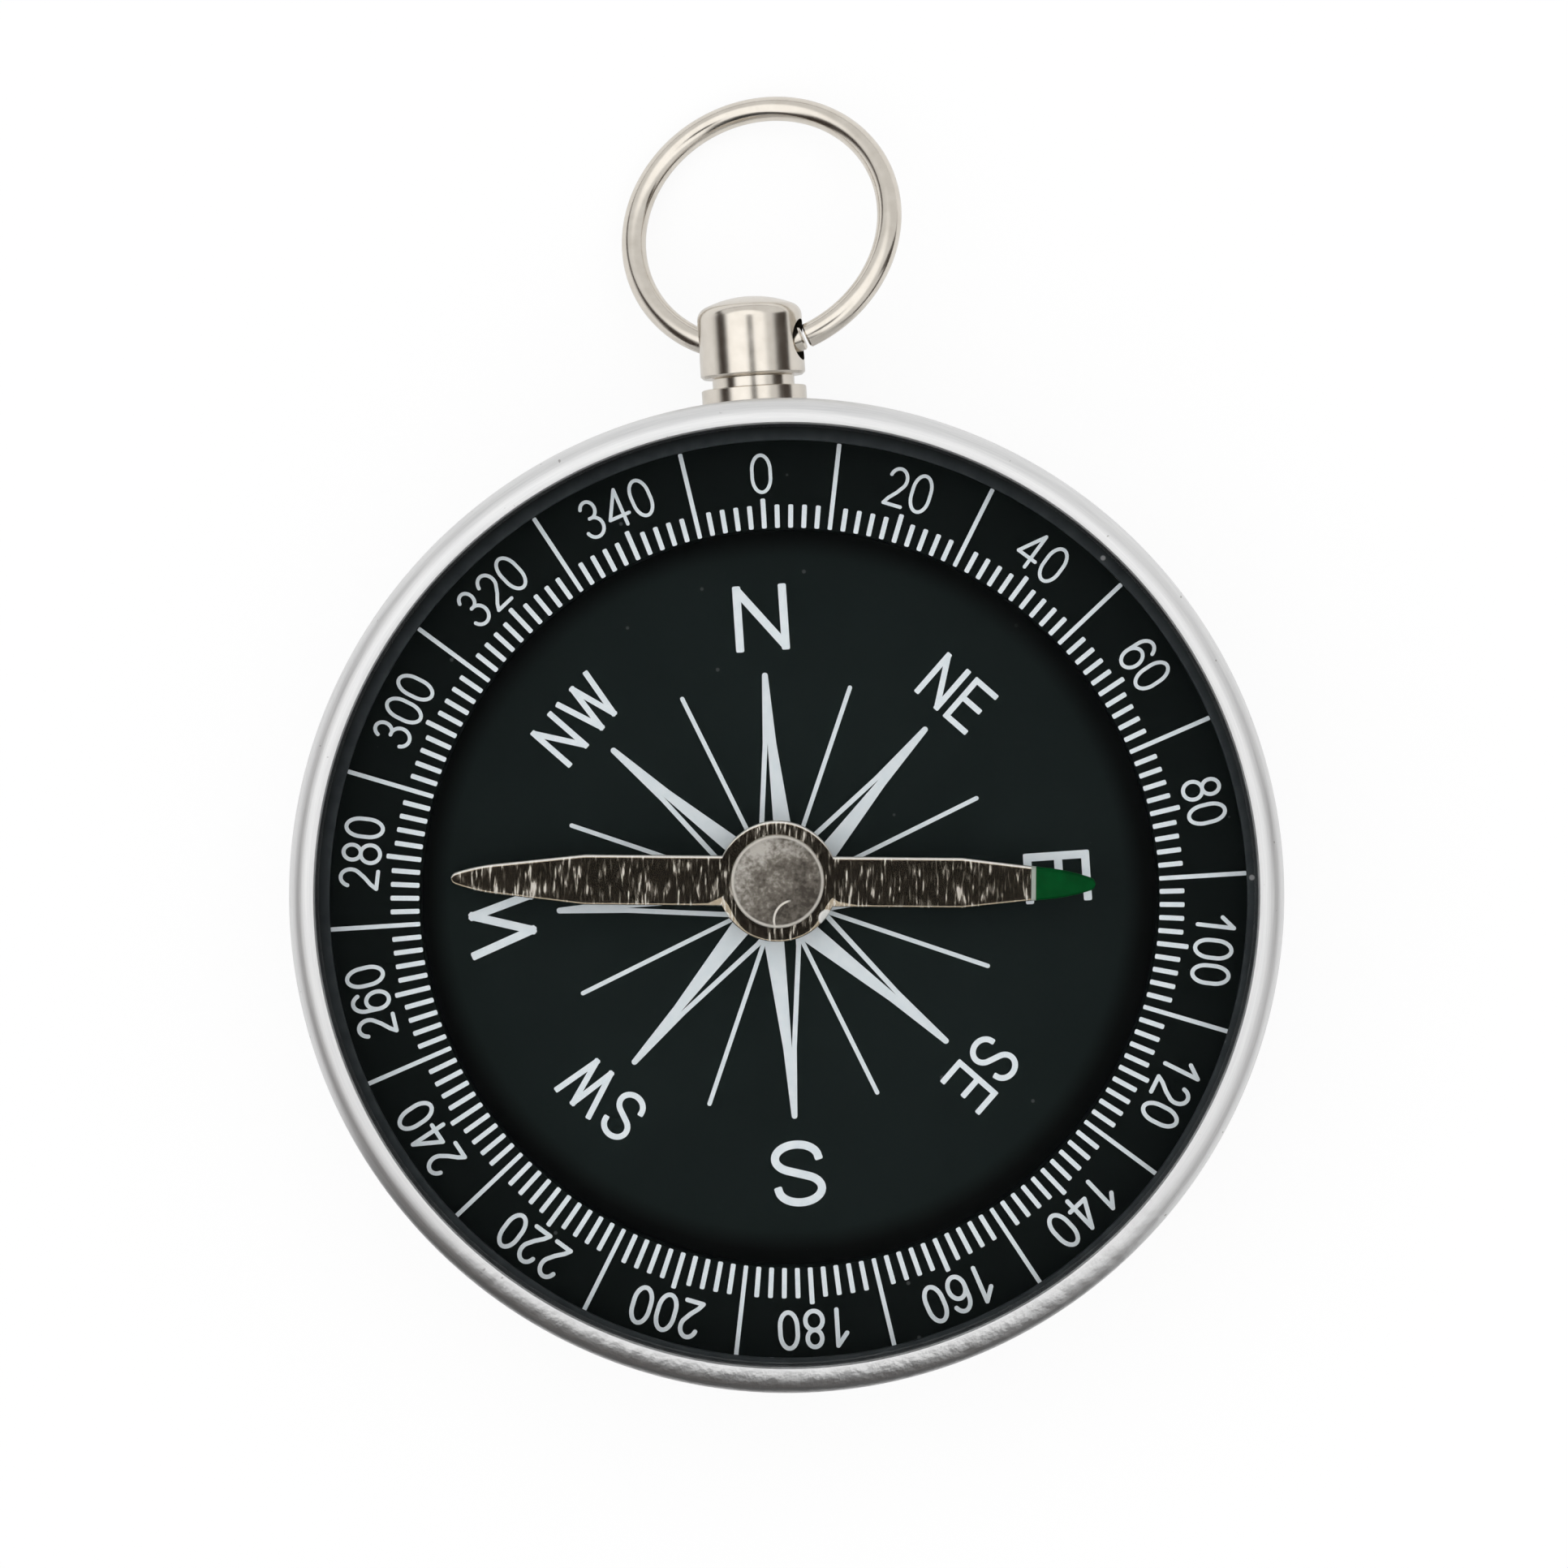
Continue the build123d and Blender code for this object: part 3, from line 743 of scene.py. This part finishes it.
def green_paint():
    """Deep green enamel, streaked a little by the brush, with a pale start."""
    material, tree, shader = finish("green_paint", Specular_IOR_Level=0.03)
    place = along_needle(tree)
    cloud = noise(tree, place, 900.0, 3.0)
    tone = ramp(tree, cloud, (0.3, (0.0, 0.05, 0.009)), (0.7, (0.0005, 0.078, 0.016)))
    along = add(tree, "SeparateXYZ", {0: place})[0]
    start = remap(tree, along, ridge_end, ridge_end + ridge_fade)
    tree.links.new(blend(tree, start, (0.42, 0.46, 0.41, 1), tone), shader["Base Color"])
    tree.links.new(remap(tree, cloud, 0, 1, 0.25, 0.45), shader["Roughness"])
    return material


green_end.data.materials.append(green_paint())
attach(green_end, "needle")

# Needle cap and jewel
# A turned button, nickel plated, with its hollow shank riveted under the blade. The cup
# bearing pressed up into it is a glass jewel.
cap_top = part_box("needle_cap")[1].z
cap_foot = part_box("needle_cap")[0].z
jewel_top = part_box("cap_jewel")[1].z
cap_radius = 2.08 * mm
cap_edge = 0.07 * mm
cap_fall = 0.05 * mm
cap_slope = 0.2 * mm
shank_radius = 1.3 * mm
flare_radius = 1.6 * mm
bore_radius = 0.9 * mm
rim_glint_start = 1.91 * mm
rim_glint_full = 1.98 * mm
scratch_center = (0.74 * mm, -1.72 * mm, 0)
scratch_radius = 0.88 * mm
scratch_half_width = 0.06 * mm
scratch_core = 0.03 * mm
scratch_end = 0.64 * mm
scratch_fade = 0.2 * mm
cap_profile = np.vstack([
    [(bore_radius, cap_foot), (flare_radius, cap_foot), (flare_radius, blade_bottom),
     (shank_radius, blade_bottom), (shank_radius, blade_top), (cap_radius, blade_top)],
    bend((cap_radius - cap_edge, cap_top - cap_fall - cap_edge), cap_edge, 0, 70, steps=6),
    straight((cap_radius - cap_slope, cap_top), (0, cap_top)),
    [(0, jewel_top), (bore_radius, jewel_top), (bore_radius, cap_foot)]])
cap = surface("needle_button", turned(cap_profile, 120) + (*pivot, 0))


def mottled_nickel():
    """Dull nickel plate, speckled and clouded, with a painted sheen that makes it paler to the
    north-west, a painted highlight round its rim and a bright scratch that follows part of a circle."""
    material, tree, shader = finish("mottled_nickel", Metallic=1.0)
    place = along_needle(tree)
    flat = combine(tree, "MULTIPLY", place, (1, 1, 0))
    patch = noise(tree, place, 620.0, 4.0)
    speck = noise(tree, place, 5200.0, 2.0)
    # Painted sheen: paler towards the north-west, where the light falls.
    sheen_slant = measure(tree, "DOT_PRODUCT", flat, (-32.0, 42.0, 0))
    cloud = calc(tree, "MULTIPLY_ADD", speck, 0.4, calc(tree, "MULTIPLY_ADD", patch, 0.6, sheen_slant))
    tone = ramp(tree, cloud, (0.34, (0.07, 0.06, 0.05)), (0.5, (0.19, 0.17, 0.145)),
                (0.66, (0.5, 0.47, 0.43)))
    # Painted highlight: a bright ring at the button's edge.
    rim_glint = remap(tree, measure(tree, "LENGTH", flat), rim_glint_start, rim_glint_full)
    bow = measure(tree, "DISTANCE", flat, scratch_center)
    offset = calc(tree, "ABSOLUTE", calc(tree, "SUBTRACT", bow, scratch_radius))
    line = remap(tree, offset, scratch_half_width, scratch_core)
    along = add(tree, "SeparateXYZ", {0: flat})[0]
    kept = remap(tree, along, scratch_end, scratch_end - scratch_fade)
    glint_and_scratch = calc(tree, "MAXIMUM", rim_glint, calc(tree, "MULTIPLY", line, kept))
    tree.links.new(blend(tree, glint_and_scratch, tone, (0.72, 0.68, 0.62, 1)), shader["Base Color"])
    tree.links.new(remap(tree, speck, 0, 1, 0.45, 0.65), shader["Roughness"])
    tree.links.new(bump(tree, speck, 0.2, 0.01 * mm), shader["Normal"])
    return material


cap.data.materials.append(mottled_nickel())
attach(cap, "needle")
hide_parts("needle_cap")


def jewel_glass():
    """Pale clouded glass, as cast bearings are made of."""
    material, tree, shader = finish("jewel_glass", Roughness=0.12)
    cloud = noise(tree, add(tree, "TexCoord")["Object"], 2500.0, 2.0)
    tone = ramp(tree, cloud, (0.3, (0.55, 0.5, 0.46)), (0.7, (0.7, 0.66, 0.62)))
    tree.links.new(tone, shader["Base Color"])
    return material


dress("cap_jewel", jewel_glass())

# Spacer ring and seal
# A black plastic ring stands on the carrier round the dial and holds up the seal, a flat grey
# rubber ring that the crystal is pressed on. Its hole is cut a little to the south.
seal_low, seal_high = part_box("crystal_seal")
seal_inner_radius = 20.365 * mm
seal_hole_middle = scale_middle + np.array((0, 0.073)) * mm
lip_shadow_end = seal_inner_radius + 0.55 * mm
seal_top = seal_high.z - 0.03 * mm
seal_profile = np.array([
    (seal_inner_radius, seal_low.z), (seal_high.x, seal_low.z), (seal_high.x, seal_top),
    (seal_inner_radius, seal_top), (seal_inner_radius, seal_low.z)])
seal_shift = np.array([1, 0, 0, 1, 1])[:, None, None] * np.array((*seal_hole_middle, 0))
seal = surface("seal_band", turned(seal_profile) + seal_shift)


def dark_rubber():
    """Grey-black rubber, dull, with pale dust specks, and a painted lip shadow darker outward from its
    hole.
    """
    material, tree, shader = finish("dark_rubber", Specular_IOR_Level=0.03)
    place = add(tree, "TexCoord")["Object"]
    cloud = noise(tree, place, 1500.0, 3.0)
    tone = ramp(tree, cloud, (0.3, (0.036, 0.042, 0.045)), (0.7, (0.052, 0.06, 0.063)))
    flat = combine(tree, "MULTIPLY", place, (1, 1, 0))
    away = measure(tree, "DISTANCE", flat, (*seal_hole_middle, 0))
    # Painted shadow: darker outward from the hole, under the rolled lip of the rim.
    painted_lip_shadow = remap(tree, away, seal_inner_radius, lip_shadow_end, 0, 0.8)
    tone = blend(tree, painted_lip_shadow, tone, (0.003, 0.0035, 0.004, 1))
    grit = add(tree, "TexVoronoi", {"Vector": place, "Scale": 380.0})["Distance"]
    dust = ramp(tree, grit, (0.035, (1, 1, 1)), (0.055, (0, 0, 0)))
    tree.links.new(blend(tree, dust, tone, (0.3, 0.3, 0.3, 1)), shader["Base Color"])
    tree.links.new(remap(tree, cloud, 0, 1, 0.55, 0.75), shader["Roughness"])
    return material


seal.data.materials.append(dark_rubber())
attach(seal, "case")
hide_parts("crystal_seal")
dress("spacer_ring", black_plastic)

# Crystal
# A flat disc of clear acrylic with broken edges, held between the seal and the rolled rim. It
# casts no shadow, so that the dial gets the light that clear acrylic lets through.


def clear_acrylic():
    """Clear plastic, the faintest bit uneven in tint."""
    material, tree, shader = finish("clear_acrylic", Transmission_Weight=1.0, IOR=1.49, Roughness=0.0)
    haze = noise(tree, add(tree, "TexCoord")["Object"], 900.0, 3.0)
    tint = ramp(tree, haze, (0.0, (0.97, 0.98, 0.98)), (1.0, (1.0, 1.0, 1.0)))
    tree.links.new(tint, shader["Base Color"])
    return material


dress("crystal", clear_acrylic())
frame["nodes"]["crystal"].visible_shadow = False

# Stem
# A pendant turned from brass rod and nickel plated: flange, neck, body and domed head, cross
# drilled for the ring. Its tail goes through the case wall and is riveted over inside.
stem_low, stem_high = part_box("stem")
stem_radius = stem_high.x
stem_end = stem_high.y
flange_end = case_radius + 0.7 * mm
neck_radius = 1.835 * mm
neck_end = flange_end + 0.5 * mm
body_edge = 0.12 * mm
turning_edge = 0.04 * mm
body_end = neck_end + 2.65 * mm
dome_height = stem_end - body_end
shoulder_radius = 0.6 * mm
tail_radius = 0.9 * mm
rivet_radius = 1.25 * mm
rivet_seat = np.sqrt(inner_radius**2 - rivet_radius**2)
hole_place = np.array(frame["joints"][1]["pos_m"])
hole_axis = np.array(frame["joints"][1]["axis"])
hole_radius = 0.9248 * mm
dome_spread = stem_radius - shoulder_radius
crown_rise = dome_height - shoulder_radius
crown_radius = (dome_spread**2 + dome_height**2 - shoulder_radius**2) / (2 * crown_rise)
crown_center = stem_end - crown_radius
shoulder_end = np.degrees(np.arctan2(body_end - crown_center, dome_spread))


def broken(points, size):
    """A profile's straight stretches with each corner between them cut back by the size."""
    points = np.array(points)
    legs = np.diff(points, axis=0)
    legs /= np.linalg.norm(legs, axis=1, keepdims=True)
    cuts = np.stack([points[1:-1] - size * legs[:-1], points[1:-1] + size * legs[1:]], axis=1)
    return np.vstack([points[:1], cuts.reshape(-1, 2), points[-1:]])


stem_profile = np.vstack([
    [(0, stem_low.y), (rivet_radius, stem_low.y), (rivet_radius, rivet_seat), (tail_radius, rivet_seat),
     (tail_radius, case_radius), (stem_radius - turning_edge, case_radius)],
    broken([(stem_radius, case_radius), (stem_radius, flange_end), (neck_radius, flange_end),
            (neck_radius, neck_end), (stem_radius - body_edge, neck_end)], turning_edge),
    straight((stem_radius, neck_end + body_edge), (stem_radius, body_end)),
    bend((dome_spread, body_end), shoulder_radius, 0, shoulder_end, steps=14),
    bend((0, crown_center), crown_radius, shoulder_end, 90, steps=20)])
stem = surface("stem_pendant", turned(stem_profile, 160)[..., [1, 2, 0]] + (0, 0, stem_height))
drill_end = 2 * stem_radius
cross_hole = np.array([
    (0, -drill_end), (hole_radius, -drill_end), (hole_radius, drill_end), (0, drill_end)])
hole_side = np.cross(hole_axis, (0, 1, 0))
hole_frame = np.array([hole_side, np.cross(hole_axis, hole_side), hole_axis])
drill(stem, surface("cross_drill", hole_place + turned(cross_hole, 64) @ hole_frame))


def bright_nickel(name):
    """Bright nickel plate, warm in tone, with a soft unevenness in its polish."""
    material, tree, shader = finish(name, Metallic=1.0)
    place = add(tree, "TexCoord")["Object"]
    cloud = noise(tree, place, 1400.0, 3.0)
    tone = ramp(tree, cloud, (0.3, (0.62, 0.575, 0.51)), (0.7, (0.69, 0.645, 0.58)))
    tree.links.new(tone, shader["Base Color"])
    tree.links.new(remap(tree, cloud, 0, 1, 0.15, 0.23), shader["Roughness"])
    tree.links.new(bump(tree, noise(tree, place, 4500.0), 0.03, 0.01 * mm), shader["Normal"])
    return material


nickel = bright_nickel("bright_nickel")
stem.data.materials.append(nickel)
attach(stem, "case")
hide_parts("stem")

# Ring
# Nickel plated wire bent into a circle, its cut ends left a hair apart beside the stem. It
# hangs in the cross hole and lies with its far side on the table.
wire_radius = 0.55 * mm
bow_radius = 5.95 * mm
ring_center = (np.array(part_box("ring")[0]) + np.array(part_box("ring")[1])) / 2
joint_angle = 291.5
joint_gap = 0.14 * mm
end_edge = 0.08 * mm
ring_steps = 241
lean = ring_center - hole_place
lean -= hole_axis * (lean @ hole_axis)
lean /= np.linalg.norm(lean)
ring_normal = np.cross(hole_axis, lean)


def wire_ring():
    """A round section carried along an open circle: the circle's points plus the wire's radius times
    the outward and the normal direction, with each end's edge eased and drawn in to its middle."""
    gap, ease = joint_gap / bow_radius / 2, end_edge / bow_radius
    first, last = np.radians(joint_angle) + gap, np.radians(joint_angle) + 2 * np.pi - gap
    bow = np.linspace(first + ease, last - ease, ring_steps)
    path = np.concatenate([[first, first], bow, [last, last]])
    end_radius = wire_radius - end_edge
    size = np.concatenate([[0, end_radius], np.full(ring_steps, wire_radius), [end_radius, 0]])
    turn = np.linspace(0, 2 * np.pi, 32, endpoint=False)
    outward = np.cos(path)[:, None] * hole_axis + np.sin(path)[:, None] * lean
    across = bow_radius + size[:, None] * np.cos(turn)
    above = size[:, None] * np.sin(turn)
    return ring_center + across[..., None] * outward[:, None] - above[..., None] * ring_normal


ring = surface("wire_ring", wire_ring())
ring.data.materials.append(nickel)
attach(ring, "ring")
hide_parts("ring")

# Studio
# A white table in a white room with a wide softbox overhead, and dark cloths that only the bright
# metal and the crystal mirror: a low wall, a tall screen in the south and a disc over the camera.
floor_radius = 3.0
floor_drop = 0.02 * mm
wall_radius = 0.5
wall_bearings = (0, 60, 74, 77, 91, 95, 130, 150, 180, 225, 270, 295, 320, 360)
wall_tops = (7, 2, 8, 40, 40, 20, 20, 16, 30, 40, 44, 36, 7, 7)
wall_feet = (-20, -20, -20, -20, -20, -20, -20, -20, -20, -20, 6, 6, -20, -20)
wall_soft = 10.0
wall_rise = 45.0
screen_radius = 0.52
screen_foot = 0.03
screen_bearings = (0, 120, 160, 178, 200, 225, 260, 360)
screen_tops = (-40, -40, 72, 84, 84, 74, -40, -40)
screen_soft = 24.0
screen_rise = 86.0
disc_height = 0.6
disc_radius = 0.1
disc_soft = 2.0
room_level = 0.85
softbox_level = 1.45
softbox_edge = 40.0
softbox_end = 50.0
softbox_aim = np.array((-0.2, -0.04, 1.0))
camera_place = (0.2 * mm, 4.92 * mm, 309.0 * mm)
camera_turn = -3.7
camera_lens = 155.8
film_width = 36.0


def white_table():
    """A white sheet, whitened by its own glow to the eye and, less, in mirrors. What stands on it
    still shades it a little."""
    material, tree, shader = finish("white_table", Roughness=0.9, Specular_IOR_Level=0.1)
    grain = noise(tree, add(tree, "TexCoord")["Object"], 40.0, 2.0)
    tone = ramp(tree, grain, (0.3, (0.9, 0.9, 0.9)), (0.7, (0.92, 0.92, 0.92)))
    tree.links.new(tone, shader["Base Color"])
    path = add(tree, "LightPath")
    mirrored = calc(tree, "MAXIMUM", path["Is Glossy Ray"], path["Is Transmission Ray"])
    seen = calc(tree, "MULTIPLY_ADD", path["Is Camera Ray"], 0.88, calc(tree, "MULTIPLY", mirrored, 0.3))
    glow = add(tree, "Emission", {"Color": (1, 1, 1, 1), "Strength": 1.0})[0]
    mixed = {0: seen, 1: tree.nodes["Principled BSDF"].outputs[0], 2: glow}
    tree.links.new(add(tree, "MixShader", mixed)[0], tree.nodes["Material Output"].inputs[0])
    return material


table = surface("table_top", turned(np.array([(floor_radius, -floor_drop), (0, -floor_drop)]), 96))
table.data.materials.append(white_table())


def dark_cloth(name, dark, light):
    """Dark cloth, as thin at each of its points as the cover stored there says."""
    material, tree, shader = finish(name, Roughness=1.0, Specular_IOR_Level=0.0)
    cloud = noise(tree, add(tree, "TexCoord")["Object"], 8.0)
    tree.links.new(ramp(tree, cloud, (0.3, dark), (0.7, light)), shader["Base Color"])
    tree.links.new(add(tree, "Attribute", attribute_name="cover")["Fac"], shader["Alpha"])
    return material


def dome(radius, top, rows=40):
    """A ball's profile from its equator up to an elevation: radius times cosine and sine."""
    return bend((0, 0), radius, 0, top, rows)


def hang(name, profile, cover, material):
    """A cloth turned from a profile, which only mirrors show. Its cover at each point follows from the
    point's bearing and elevation."""
    cloth = surface(name, turned(profile))
    points = np.empty(3 * len(cloth.data.vertices))
    cloth.data.vertices.foreach_get("co", points)
    x, y, z = points.reshape(-1, 3).T
    bearing = np.degrees(np.arctan2(x, y)) % 360
    rise = np.degrees(np.arctan2(z, np.hypot(x, y)))
    shares = cloth.data.attributes.new("cover", "FLOAT", "POINT")
    shares.data.foreach_set("value", cover(bearing, rise))
    cloth.data.materials.append(material)
    cloth.visible_camera = False
    cloth.visible_diffuse = False
    cloth.visible_shadow = False
    return cloth


def wall_cover(bearing, rise):
    """Full between two elevations that change with the bearing, and thinner towards both."""
    top = np.interp(bearing, wall_bearings, wall_tops)
    foot = np.interp(bearing, wall_bearings, wall_feet)
    return np.clip(np.minimum(top - rise, rise - foot) / wall_soft, 0, 1)


def screen_cover(bearing, rise):
    """Full in the south, and thinner towards its top and its sides."""
    return np.clip((np.interp(bearing, screen_bearings, screen_tops) - rise) / screen_soft, 0, 1)


def disc_cover(bearing, rise):
    """Full in the middle of the disc, and thinner towards its edge."""
    return np.clip((rise - np.degrees(np.arctan2(disc_height, disc_radius))) / disc_soft, 0, 1)


brown_cloth = dark_cloth("brown_cloth", (0.03, 0.02, 0.015), (0.05, 0.036, 0.027))
grey_cloth = dark_cloth("grey_cloth", (0.03, 0.03, 0.03), (0.05, 0.05, 0.05))
black_cloth = dark_cloth("black_cloth", (0.008, 0.008, 0.008), (0.014, 0.014, 0.014))
wall = hang("cloth_wall", dome(wall_radius, wall_rise), wall_cover, brown_cloth)
wall.visible_transmission = False
screen_skirt = straight((screen_foot, floor_drop), (screen_radius, floor_drop))
screen_profile = np.vstack([screen_skirt, dome(screen_radius, screen_rise)[1:]])
screen = hang("south_screen", screen_profile, screen_cover, grey_cloth)
screen.visible_transmission = False
disc_profile = np.linspace((disc_radius, disc_height), (0, disc_height), 24)
hang("cloth_disc", disc_profile, disc_cover, black_cloth)

world = bpy.data.worlds.new("white_room")
world.use_nodes = True
room = world.node_tree
aim = tuple(softbox_aim / np.linalg.norm(softbox_aim))
rise = measure(room, "DOT_PRODUCT", add(room, "TexCoord")["Generated"], aim)
tilt = calc(room, "MULTIPLY", calc(room, "ARCCOSINE", rise), 180 / np.pi)
glow = remap(room, tilt, softbox_edge, softbox_end, softbox_level, room_level)
room.nodes["Background"].inputs["Color"].default_value = (1, 1, 1, 1)
room.links.new(glow, room.nodes["Background"].inputs["Strength"])
bpy.context.scene.world = world

camera = bpy.data.cameras.new("camera")
camera.lens = camera_lens
camera.sensor_width = film_width
camera.clip_start = 0.01
camera_stand = bpy.data.objects.new("camera", camera)
camera_stand.location = camera_place
camera_stand.rotation_euler = (0, 0, np.radians(camera_turn))
bpy.context.scene.collection.objects.link(camera_stand)
bpy.context.scene.camera = camera_stand
bpy.context.scene.view_settings.view_transform = "Standard"
